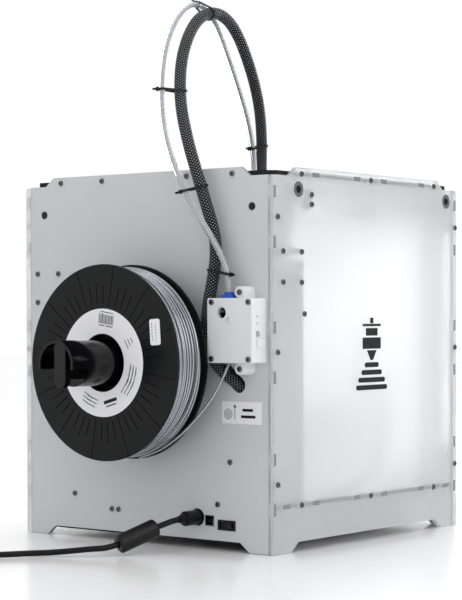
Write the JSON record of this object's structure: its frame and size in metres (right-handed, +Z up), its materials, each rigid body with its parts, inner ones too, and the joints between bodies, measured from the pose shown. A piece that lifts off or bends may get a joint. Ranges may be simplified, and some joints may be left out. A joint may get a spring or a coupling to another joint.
{
  "type": "desktop fdm printer",
  "caption": "Boxed desktop filament printer with a crossed-rod gantry, tube-fed print head, lifting bed, rear feeder, reel on a holder, loose power lead and supply.",
  "frame": {"origin": "on the floor under the middle of the case", "axes": "+Z up, -Y out of the printer's front, +Y out of its back where the reel hangs, +X to the right seen from the front"},
  "size_m": [0.3697, 0.816, 0.5733],
  "materials": {
    "frosted_sheet": "satin frosted white",
    "grey_sheet": "satin light grey coated sheet",
    "black_sheet": "fine matt",
    "white_moulding": "moulded, satin",
    "holder_black": "moulded, glossy",
    "dark_steel": "fine black powder coat",
    "black_steel": "fine black powder coat",
    "head_metal": "satin anodised black",
    "bearing_steel": "ground",
    "belt_rubber": "toothed, matt",
    "motor_black": "black, laminated sides",
    "bright_steel": "ground and polished",
    "board_green": "circuit board",
    "socket_black": "moulded",
    "black_plastic": "moulded, fine texture",
    "blue_plastic": "moulded",
    "white_plastic": "moulded",
    "aluminium_part": "machined",
    "brass_part": "machined",
    "bed_aluminium": "anodised",
    "bed_glass": "clear, flat",
    "knob_aluminium": "turned",
    "reel_black": "moulded, glossy",
    "silver_filament": "pearly silver strand",
    "tube_plastic": "translucent milky",
    "braid_sleeve": "braided",
    "lead_rubber": "smooth",
    "bead_plastic": "moulded"
  },
  "bodies": {
    "case": {"left_panel": "frosted_sheet", "right_panel": "frosted_sheet", "back_panel": "grey_sheet", "front_panel": "grey_sheet", "top_plate": "black_sheet", "floor_panel": "grey_sheet", "electronics_cover": "dark_steel", "corner_covers": "grey_sheet", "screws": "bright_steel", "shaft_bearings": "bearing_steel", "long_belts": "belt_rubber", "short_belts": "belt_rubber", "axis_motors": "motor_black", "feeder_motor": "motor_black", "z_rods": "bright_steel", "control_electronics": "board_green", "rear_sockets": "socket_black", "feeder_body": "white_moulding", "feeder_cover": "white_moulding", "tube_collet": "blue_plastic", "reel_holder": "holder_black", "filament_strand": "silver_filament", "feed_tube": "tube_plastic", "cable_sleeve": "braid_sleeve", "power_lead": "lead_rubber", "power_plug": "lead_rubber", "ferrite_bead": "bead_plastic", "lead_coil": "lead_rubber", "power_supply": "bead_plastic"},
    "x_slide": {"x_blocks": "black_plastic", "x_cross_rod": "bright_steel"},
    "y_slide": {"y_blocks": "black_plastic", "y_cross_rod": "bright_steel"},
    "print_head": {"head_body": "head_metal", "head_fans": "black_plastic", "heat_sink": "aluminium_part", "heater_block": "aluminium_part", "nozzle": "brass_part", "tube_coupling": "white_plastic"},
    "left_fan": {"left_fan_rotor": "black_plastic"},
    "right_fan": {"right_fan_rotor": "black_plastic"},
    "rear_fan": {"rear_fan_rotor": "black_plastic"},
    "front_x_shaft": {"front_shaft": "bright_steel"},
    "rear_x_shaft": {"rear_shaft": "bright_steel"},
    "left_y_shaft": {"left_shaft": "bright_steel"},
    "right_y_shaft": {"right_shaft": "bright_steel"},
    "y_motor_rotor": {"rear_shaft_drive": "bright_steel"},
    "x_motor_rotor": {"right_shaft_drive": "bright_steel"},
    "bed": {"z_stage": "black_steel", "bed_plate": "bed_aluminium", "glass_plate": "bed_glass", "bed_hardware": "bright_steel"},
    "lift_screw": {"leadscrew": "bright_steel"},
    "feed_drive": {"feeder_wheel": "bright_steel"},
    "feed_idler": {"feeder_lever": "black_plastic"},
    "knob_push": {"knob_shaft": "bright_steel"},
    "knob_turn": {"control_knob": "knob_aluminium"},
    "power_rocker": {"rocker_switch": "socket_black"},
    "reel": {"reel": "reel_black", "filament_winding": "silver_filament"}
  },
  "joints": [
    {"name": "x_travel", "type": "slide", "parent": "case", "child": "x_slide", "axis": [1, 0, 0], "range_m": [-0.114, 0.106]},
    {"name": "y_travel", "type": "slide", "parent": "case", "child": "y_slide", "axis": [0, 1, 0], "range_m": [-0.1042, 0.1165]},
    {"name": "head_y_follow", "type": "slide", "parent": "x_slide", "child": "print_head", "axis": [0, 1, 0], "range_m": [-0.1042, 0.1165]},
    {"name": "left_fan_spin", "type": "hinge", "parent": "print_head", "child": "left_fan", "pos_m": [-0.0175, -0.018, 0.3195], "axis": [-1, 0, 0], "continuous": true},
    {"name": "right_fan_spin", "type": "hinge", "parent": "print_head", "child": "right_fan", "pos_m": [0.0255, -0.018, 0.3195], "axis": [1, 0, 0], "continuous": true},
    {"name": "rear_fan_spin", "type": "hinge", "parent": "print_head", "child": "rear_fan", "pos_m": [0.004, -0.002, 0.3225], "axis": [0, 1, 0], "continuous": true},
    {"name": "front_x_shaft_turn", "type": "hinge", "parent": "case", "child": "front_x_shaft", "pos_m": [0, -0.1494, 0.366], "axis": [1, 0, 0], "range_deg": [-1100, 1100]},
    {"name": "rear_x_shaft_turn", "type": "hinge", "parent": "case", "child": "rear_x_shaft", "pos_m": [0, 0.128, 0.366], "axis": [1, 0, 0], "range_deg": [-1100, 1100]},
    {"name": "left_y_shaft_turn", "type": "hinge", "parent": "case", "child": "left_y_shaft", "pos_m": [-0.144, 0, 0.348], "axis": [0, 1, 0], "range_deg": [-1100, 1100]},
    {"name": "right_y_shaft_turn", "type": "hinge", "parent": "case", "child": "right_y_shaft", "pos_m": [0.144, 0, 0.348], "axis": [0, 1, 0], "range_deg": [-1100, 1100]},
    {"name": "y_motor_turn", "type": "hinge", "parent": "case", "child": "y_motor_rotor", "pos_m": [-0.1575, 0.1388, 0.2876], "axis": [1, 0, 0], "range_deg": [-1100, 1100]},
    {"name": "x_motor_turn", "type": "hinge", "parent": "case", "child": "x_motor_rotor", "pos_m": [0.1387, 0.1582, 0.2685], "axis": [0, 1, 0], "range_deg": [-1100, 1100]},
    {"name": "bed_lift", "type": "slide", "parent": "case", "child": "bed", "axis": [0, 0, 1], "range_m": [-0.059, 0.146]},
    {"name": "lift_screw_turn", "type": "hinge", "parent": "case", "child": "lift_screw", "pos_m": [0, 0.141, 0.2], "axis": [0, 0, 1], "range_deg": [-2700, 6600]},
    {"name": "feed_drive_turn", "type": "hinge", "parent": "case", "child": "feed_drive", "pos_m": [-0.1345, 0.183, 0.224], "axis": [0, 1, 0], "continuous": true},
    {"name": "feed_idler_swing", "type": "hinge", "parent": "case", "child": "feed_idler", "pos_m": [-0.1145, 0.18, 0.243], "axis": [0, 1, 0], "range_deg": [-8, 0], "stiffness_Nm_per_rad": 0.6, "springref_deg": 11.46},
    {"name": "knob_press", "type": "slide", "parent": "case", "child": "knob_push", "axis": [0, 1, 0], "range_m": [0, 0.001], "stiffness_N_per_m": 900, "springref_m": -0.0012},
    {"name": "knob_spin", "type": "hinge", "parent": "knob_push", "child": "knob_turn", "pos_m": [0.062, -0.18, 0.029], "axis": [0, 1, 0], "continuous": true},
    {"name": "power_rocker_tilt", "type": "hinge", "parent": "case", "child": "power_rocker", "pos_m": [-0.11125, 0.168, 0.026], "axis": [0, 0, 1], "range_deg": [0, 12]},
    {"name": "reel_spin", "type": "hinge", "parent": "case", "child": "reel", "pos_m": [-0.01, 0.221, 0.191], "axis": [0, 1, 0], "continuous": true}
  ],
  "couplings": [
    {"joint": "head_y_follow", "follows": "y_travel", "ratio": 1},
    {"joint": "front_x_shaft_turn", "follows": "y_travel", "rad_per_m": 157.08},
    {"joint": "rear_x_shaft_turn", "follows": "y_travel", "rad_per_m": 157.08},
    {"joint": "y_motor_turn", "follows": "y_travel", "rad_per_m": 157.08},
    {"joint": "left_y_shaft_turn", "follows": "x_travel", "rad_per_m": 157.08},
    {"joint": "right_y_shaft_turn", "follows": "x_travel", "rad_per_m": 157.08},
    {"joint": "x_motor_turn", "follows": "x_travel", "rad_per_m": 157.08},
    {"joint": "lift_screw_turn", "follows": "bed_lift", "rad_per_m": 785.4},
    {"joint": "feed_drive_turn", "follows": "reel_spin", "ratio": -12.13}
  ]
}
